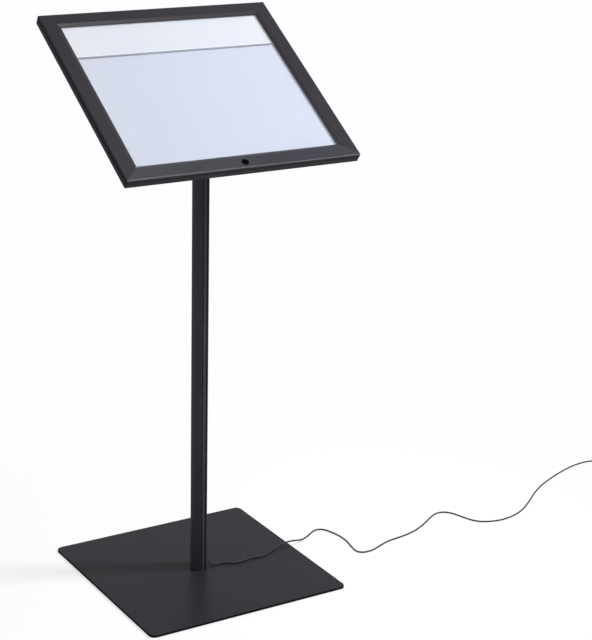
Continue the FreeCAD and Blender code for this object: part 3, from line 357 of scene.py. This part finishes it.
def powder_coat(name, colour, roughness, shine, grain, depth=0.00004, stretch=None,
                face=None, side=None, side_rough=0.85):
    """Baked coat on metal: soft clouds, a fine grain in colour and height, and edges a little lighter: wear
    and a painted highlight.

    Where a face direction is given, what is turned away from it is duller and takes the side's darker
    colour as painted shade.
    On the head, so has the lip inside the lit opening, as painted shade of the gap at the glass.
    """
    paint = Paint(name)
    cloud = paint.noise(COAT_CLOUDS, detail=3.0)
    fine = paint.noise(grain, detail=2.0, stretch=stretch)
    normal = paint.soft_normal(COAT_EDGE)
    shade = paint.tones(cloud, NOISE_MOST, colour, COAT_TONES)
    speck = scaled(colour, COAT_SPECK_TONE)
    shade = paint.specks(fine, COAT_SPECKS, COAT_SPECK_SHARE, shade, speck)
    # Eased edges a little lighter in colour: wear, and partly a painted highlight on the rims
    edge_wear_and_highlight = paint.math("MULTIPLY", paint.edge_share(normal), COAT_WEAR_AND_HIGHLIGHT_SHARE)
    shade = paint.mix(edge_wear_and_highlight, shade, scaled(colour, COAT_WEAR_AND_HIGHLIGHT_TONE))
    cloud_rough = paint.spread(cloud, NOISE_ALL, -COAT_CLOUD_ROUGH, COAT_CLOUD_ROUGH)
    fine_rough = paint.spread(fine, NOISE_ALL, roughness - COAT_GRAIN_ROUGH, roughness + COAT_GRAIN_ROUGH)
    rough = paint.math("ADD", cloud_rough, fine_rough)
    # Painted shade: faces turned away from the show face take the darker side colour
    if face:
        show = paint.spread(paint.dot(paint.turn, face), FACE_TURN)
        if face == OUTWARD:
            # Painted shade: the lip round the lit opening takes the darker side colour, for the shadowed
            # gap at the glass
            across = paint.within(ACROSS, OPENING_WIDE)
            lip = paint.math("MULTIPLY", across, paint.within(UPWARD, OPENING_TALL))
            show = paint.math("MULTIPLY", show, paint.math("SUBTRACT", 1.0, lip))
        shade = paint.mix(show, scaled(side), shade)
        rough = paint.math("ADD", rough, paint.spread(show, (0.0, 1.0), side_rough - roughness, 0.0))
    paint.set(Base_Color=shade, Roughness=rough, Specular_IOR_Level=shine)
    paint.set(Normal=paint.bump(fine, depth, normal))
    return paint.material


def plated_metal(name, colour, roughness, grain, stretch=None):
    """Bright metal with a fine lay and dull patches."""
    paint = Paint(name)
    lay = paint.noise(grain, detail=3.0, stretch=stretch)
    dull = paint.noise(METAL_PATCHES, detail=3.0)
    patch_rough = paint.spread(dull, NOISE_ALL, *METAL_PATCH_ROUGH)
    lay_rough = paint.spread(lay, NOISE_ALL, roughness, roughness + METAL_LAY_ROUGH)
    paint.set(Base_Color=paint.tones(dull, METAL_DULL, colour, METAL_TONES), Metallic=1.0)
    paint.set(Roughness=paint.math("ADD", patch_rough, lay_rough))
    paint.set(Normal=paint.bump(lay, METAL_LAY_DEPTH, paint.soft_normal(METAL_EDGE)))
    return paint.material


def moulded(name, colour, roughness, shine, grain, depth):
    """Moulded plastic or rubber with a fine spark-eroded grain."""
    paint = Paint(name)
    fine = paint.noise(grain, detail=3.0)
    cloud = paint.noise(PLASTIC_CLOUDS, detail=2.0)
    shade = paint.tones(cloud, NOISE_MOST, colour, PLASTIC_TONES)
    speck = scaled(colour, PLASTIC_SPECK_TONE)
    shade = paint.specks(fine, PLASTIC_SPECKS, PLASTIC_SPECK_SHARE, shade, speck)
    rough = paint.spread(fine, NOISE_ALL, *[roughness + change for change in PLASTIC_ROUGH])
    paint.set(Base_Color=shade, Roughness=rough, Specular_IOR_Level=shine)
    paint.set(Normal=paint.bump(fine, depth, paint.soft_normal(PLASTIC_EDGE)))
    return paint.material


def lit_sheet(name, colour, tint, glow, low_edge):
    """Translucent print film with light behind it.

    It has faint upright streaks of tint, paper fibre, a warmer band at the left
    and a painted highlight, brighter, along its lower edge.
    """
    paint = Paint(name)
    streak = paint.noise(STREAK_CELLS, detail=1.0, stretch=STREAK_STRETCH)
    fibre = paint.noise(FIBRE_CELLS, detail=4.0)
    shade = paint.mix(paint.spread(streak, STREAK_RANGE), scaled(colour), scaled(tint))
    shade = paint.specks(fibre, FIBRE_RANGE, FIBRE_SHARE, shade, scaled(colour, FIBRE_TONE))
    left = paint.spread(paint.along(ACROSS), (-OPENING_WIDE, LEFT_BAND - OPENING_WIDE), LEFT_SHARE, 0.0)
    shade = paint.mix(left, shade, scaled([c * t for c, t in zip(colour, LEFT_TINT)]))
    # Painted highlight: a brighter band along the sheet's lower edge
    edge_highlight = paint.spread(paint.along(UPWARD), (low_edge, low_edge + HIGHLIGHT_BAND), 1.0, 0.0)
    shade = paint.mix(edge_highlight, shade, scaled(colour, HIGHLIGHT_TONE))
    paint.set(Base_Color=shade, Roughness=SHEET_ROUGH, Specular_IOR_Level=SHEET_SHINE)
    paint.set(Emission_Color=shade, Emission_Strength=glow, Normal=paint.bump(fibre, FIBRE_DEPTH))
    return paint.material


def clear_pane(name, colour, ior):
    """Clear sheet that bends and mirrors light, and lets lamps through to what is behind it."""
    paint = Paint(name)
    haze = paint.noise(HAZE_CELLS, detail=4.0)
    paint.set(Base_Color=scaled(colour), Transmission_Weight=1.0, IOR=ior)
    paint.set(Roughness=paint.spread(haze, HAZE_RANGE, 0.0, HAZE_ROUGH))
    through = paint.coloured("ShaderNodeBsdfTransparent", scaled(colour))
    path = paint.add("ShaderNodeLightPath")
    share = paint.math("MAXIMUM", path.outputs["Is Shadow Ray"], path.outputs["Is Diffuse Ray"])
    paint.show(paint.blend(share, paint.shader, through))
    return paint.material


def light_guide(name):
    """Clear acrylic with rows of fine white dots on it that throw the light out."""
    paint = Paint(name)
    dots = paint.add("ShaderNodeTexVoronoi", feature="F1")
    dots.inputs["Scale"].default_value = DOT_CELLS
    dots.inputs["Randomness"].default_value = 0.0
    paint.join(paint.place, dots.inputs["Vector"])
    spot = paint.spread(dots.outputs["Distance"], DOT_EDGE, 1.0, 0.0)
    paint.set(Base_Color=paint.mix(spot, GUIDE_CLEAR, DOT_WHITE), Coat_Weight=GUIDE_COAT)
    paint.set(Roughness=paint.spread(spot, (0.0, 1.0), GUIDE_ROUGH, DOT_ROUGH))
    return paint.material


def led_board(name):
    """White circuit board, with yellow chips on the side that stands out from it."""
    paint = Paint(name)
    chip_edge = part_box("right_led_strip")[1].x - BOARD_THICK
    chip = paint.within(ACROSS, chip_edge)
    mask = paint.noise(MASK_CELLS, detail=2.0)
    board = paint.mix(paint.spread(mask, MASK_RANGE, 0.0, MASK_SHARE), *BOARD_TONES)
    paint.set(Base_Color=paint.mix(chip, board, CHIP_YELLOW), Roughness=BOARD_ROUGH)
    paint.set(Emission_Color=CHIP_LIGHT, Emission_Strength=paint.math("MULTIPLY", chip, CHIP_GLOW))
    return paint.material


def coats():
    """Powder coats and other black finishes on metal, by material slot."""
    return {
        # The side colours below are painted shade on faces turned away from the show face
        "base_steel": powder_coat(
            "base_coat", (0.0212, 0.0206, 0.0254), roughness=0.33, shine=0.039, grain=700.0, depth=0.00002,
            face=TOPWARD, side=(0.0055, 0.0055, 0.0075), side_rough=0.92),
        "pole_black": powder_coat(
            "pole_coat", (0.037, 0.0335, 0.040), roughness=0.6, shine=0.035, grain=500.0, depth=0.00003,
            stretch=(1.0, 1.0, 0.03)),
        "frame_black": powder_coat(
            "frame_coat", (0.019, 0.0175, 0.023), roughness=0.45, shine=0.1, grain=1000.0,
            face=OUTWARD, side=(0.011, 0.01, 0.013)),
        "panel_black": powder_coat(
            "panel_coat", (0.022, 0.0215, 0.024), roughness=0.55, shine=0.12, grain=800.0),
        "black_screw": powder_coat(
            "black_oxide", (0.007, 0.007, 0.008), roughness=0.38, shine=0.15, grain=1500.0, depth=0.00002),
    }


def metals():
    """Bright metals, by material slot."""
    return {
        "zinc_steel": plated_metal("zinc_plate", (0.60, 0.60, 0.58), roughness=0.28, grain=500.0),
        "bare_aluminium": plated_metal(
            "drawn_aluminium", (0.78, 0.78, 0.79), roughness=0.3, grain=800.0, stretch=(1.0, 0.04, 0.04)),
        "brass": plated_metal("plated_brass", (0.72, 0.68, 0.58), roughness=0.22, grain=500.0),
    }


def plastics():
    """Plastics, rubber and the cord's jacket, by material slot."""
    return {
        "black_plastic": moulded(
            "black_plastic", (0.014, 0.014, 0.015), roughness=0.45, shine=0.4, grain=1500.0, depth=0.00004),
        "white_plastic": moulded(
            "white_sheet", (0.84, 0.85, 0.87), roughness=0.5, shine=0.3, grain=600.0, depth=0.00001),
        "pale_grey": moulded(
            "grey_strip", (0.148, 0.148, 0.203), roughness=0.5, shine=0.3, grain=900.0, depth=0.00002),
        "rubber": moulded(
            "rubber", (0.013, 0.013, 0.013), roughness=0.7, shine=0.25, grain=1200.0, depth=0.00006),
        "cord_black": moulded(
            "cord_jacket", (0.036, 0.035, 0.039), roughness=0.6, shine=0.12, grain=1200.0, depth=0.00003),
    }


def lit_pieces():
    """What the light of the case passes through or comes from, by material slot."""
    return {
        "clear_plastic": light_guide("light_guide"),
        "pane": clear_pane("window_pane", (0.97, 0.985, 0.99), ior=1.46),
        "paper": lit_sheet(
            "menu_film", (0.398, 0.427, 0.51), tint=(0.417, 0.427, 0.51), glow=0.24, low_edge=MENU_LOW),
        "led_board": led_board("led_board"),
    }


def own_finishes():
    """Finishes of single nodes that differ from their slot's."""
    case_coat = powder_coat("case_coat", (0.028, 0.026, 0.031), roughness=0.7, shine=0.12, grain=1000.0)
    lock_black = powder_coat(
        "lock_black", (0.001, 0.001, 0.002), roughness=0.5, shine=0.01, grain=1500.0, depth=0.00002)
    finishes = {f"case_{side}_rail": case_coat for side in ("top", "bottom", "left", "right")}
    finishes["lock_barrel"] = lock_black
    finishes["lock_plug"] = lock_black
    finishes["header_card"] = lit_sheet(
        "header_film", (0.475, 0.487, 0.537), tint=(0.488, 0.492, 0.537), glow=0.28, low_edge=HEADER_LOW)
    # Its side colour is painted shade on faces turned away from the show face
    finishes["door_bottom_rail"] = powder_coat(
        "handled_coat", (0.016, 0.0165, 0.027), roughness=0.35, shine=0.222, grain=1000.0,
        face=OUTWARD, side=(0.0125, 0.012, 0.015))
    finishes["pole_cover_strip"] = powder_coat(
        "strip_coat", (0.052, 0.048, 0.054), roughness=0.6, shine=0.035, grain=500.0, depth=0.00003)
    return finishes


def dress_nodes(by_slot):
    """Gives every CAD node its own finish or that of its slot."""
    own = own_finishes()
    for part in frame["record"]["subparts"]:
        materials = frame["nodes"][part["node"]].data.materials
        materials.clear()
        materials.append(own.get(part["node"], by_slot[part["material_slot"]]))


def linked(name, data):
    """A new object in the scene."""
    made = bpy.data.objects.new(name, data)
    bpy.context.scene.collection.objects.link(made)
    return made


def coil_points():
    """Control points of the coil.

    It goes in over one layer, up in the half turn where it turns back, out again over the next layer,
    and along a short tail to the adapter.
    """
    start = Vector(LEAD_ROUTE[-1])
    heading = (start - Vector(LEAD_ROUTE[-2])).normalized()
    right = Vector((heading.y, -heading.x, 0.0))
    begin = start + heading * LEAD_D
    centre = begin + right * COIL_R
    steps = 2 * COIL_TURNS * COIL_POINTS
    swell = 1.0 / math.cos(math.pi / COIL_POINTS)
    points = [begin]
    for k in range(1, steps):
        turns = k / COIL_POINTS
        angle = 2 * math.pi * turns
        radius = swell * (COIL_R - COIL_PITCH * (COIL_TURNS - abs(COIL_TURNS - turns)))
        climb = min(max(2 * (turns - COIL_TURNS) + 0.5, 0.0), 1.0)
        outward = heading * math.sin(angle) - right * math.cos(angle)
        points.append(centre + outward * radius + Vector((0.0, 0.0, climb * COIL_STEP)))
    last = begin + Vector((0.0, 0.0, COIL_STEP))
    rise = Vector((0.0, 0.0, TAIL_TOP - last.z))
    points += [last, last + heading * TAIL_LONG / 3, last + heading * TAIL_LONG * 2 / 3 + rise]
    points += [last + heading * TAIL_LONG + rise, last + heading * (TAIL_LONG + LEAD_D) + rise]
    return points


def make_lead(finish):
    """The free lead as one smooth curve from the pole's foot to its adapter."""
    points = [Vector(p) for p in LEAD_ROUTE] + coil_points()
    curve = bpy.data.curves.new("supply_lead", "CURVE")
    curve.dimensions = "3D"
    curve.resolution_u = LEAD_STEPS
    curve.bevel_depth = LEAD_D / 2
    curve.bevel_resolution = LEAD_ROUNDNESS
    curve.use_fill_caps = True
    spline = curve.splines.new("NURBS")
    spline.points.add(len(points) - 1)
    for point, place in zip(spline.points, points):
        point.co = (*place, 1.0)
    spline.order_u = 3
    spline.use_endpoint_u = True
    curve.materials.append(finish)
    lead = linked("supply_lead", curve)
    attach(lead, "stand")
    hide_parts("cord_lead", "cord_coil")


def direction(bearing, rise):
    """Unit vector at a bearing from +X and a height angle, both in radians."""
    level = math.cos(rise)
    return Vector((math.cos(bearing) * level, math.sin(bearing) * level, math.sin(rise)))


def make_camera():
    """Camera at the photograph's place and angle."""
    back = direction(CAMERA_TURN - math.pi / 2, CAMERA_DOWN)
    level = TOPWARD.cross(back).normalized()
    upright = back.cross(level)
    right = level * math.cos(CAMERA_ROLL) + upright * math.sin(CAMERA_ROLL)
    up = upright * math.cos(CAMERA_ROLL) - level * math.sin(CAMERA_ROLL)
    data = bpy.data.cameras.new("camera")
    data.lens = CAMERA_LENS
    data.sensor_width = CAMERA_SENSOR
    data.sensor_fit = "AUTO"
    camera = linked("camera", data)
    camera.matrix_world = Matrix.Translation(CAMERA_AT) @ Matrix((right, up, back)).transposed().to_4x4()
    bpy.context.scene.camera = camera


def make_floor():
    """Pale floor: mostly plain white to the eye, with a share near the object that takes its shadow."""
    half = FLOOR_SIDE / 2
    corners = [(-half, -half, 0.0), (half, -half, 0.0), (half, half, 0.0), (-half, half, 0.0)]
    mesh = bpy.data.meshes.new("floor")
    mesh.from_pydata(corners, [], [(0, 1, 2, 3)])
    material = bpy.data.materials.new("floor")
    material.use_nodes = True
    mesh.materials.append(material)
    nodes = Nodes(material.node_tree, "ShaderNodeOutputMaterial")
    matt = nodes.coloured("ShaderNodeBsdfDiffuse", WHITE)
    glow = nodes.coloured("ShaderNodeEmission", WHITE)
    away = nodes.add("ShaderNodeVectorMath", operation="LENGTH")
    nodes.join(nodes.add("ShaderNodeTexCoord").outputs["Object"], away.inputs[0])
    plain = nodes.spread(away.outputs["Value"], FLOOR_FADE, FLOOR_GLOW, 1.0, "SMOOTHSTEP")
    nodes.show(nodes.blend(nodes.math("MULTIPLY", nodes.show_rays(), plain), matt, glow))
    linked("floor", mesh)


def make_world():
    """White to the eye, and an even soft light on the object."""
    world = bpy.data.worlds.new("studio")
    bpy.context.scene.world = world
    world.use_nodes = True
    nodes = Nodes(world.node_tree, "ShaderNodeOutputWorld")
    light = nodes.coloured("ShaderNodeBackground", WORLD_COLOUR)
    light.inputs["Strength"].default_value = WORLD_LIGHT
    seen = nodes.coloured("ShaderNodeBackground", WHITE)
    nodes.show(nodes.blend(nodes.show_rays(), light, seen))


def make_lamp(name, turn, rise, away, side, power):
    """Square soft lamp that faces the point that it aims at."""
    data = bpy.data.lights.new(name, "AREA")
    data.shape = "SQUARE"
    data.size = side
    data.energy = power
    lamp = linked(name, data)
    back = direction(math.radians(turn), math.radians(rise))
    lamp.location = LAMP_AIM + back * away
    lamp.rotation_mode = "QUATERNION"
    lamp.rotation_quaternion = (-back).to_track_quat("-Z", "Y")
    return lamp


def make_lamps():
    """A key lamp that lights and casts the shadow, and two softboxes that only shine on faces and edges."""
    key = make_lamp("key_lamp", **KEY_LAMP)
    key.visible_glossy = False
    for name, settings in (("shine_lamp", SHINE_LAMP), ("edge_lamp", EDGE_LAMP)):
        softbox = make_lamp(name, **settings)
        softbox.visible_diffuse = False


bpy.context.scene.view_settings.view_transform = "Standard"
make_camera()
make_floor()
make_world()
make_lamps()
finishes = {**coats(), **metals(), **plastics(), **lit_pieces()}
dress_nodes(finishes)
make_lead(finishes["cord_black"])
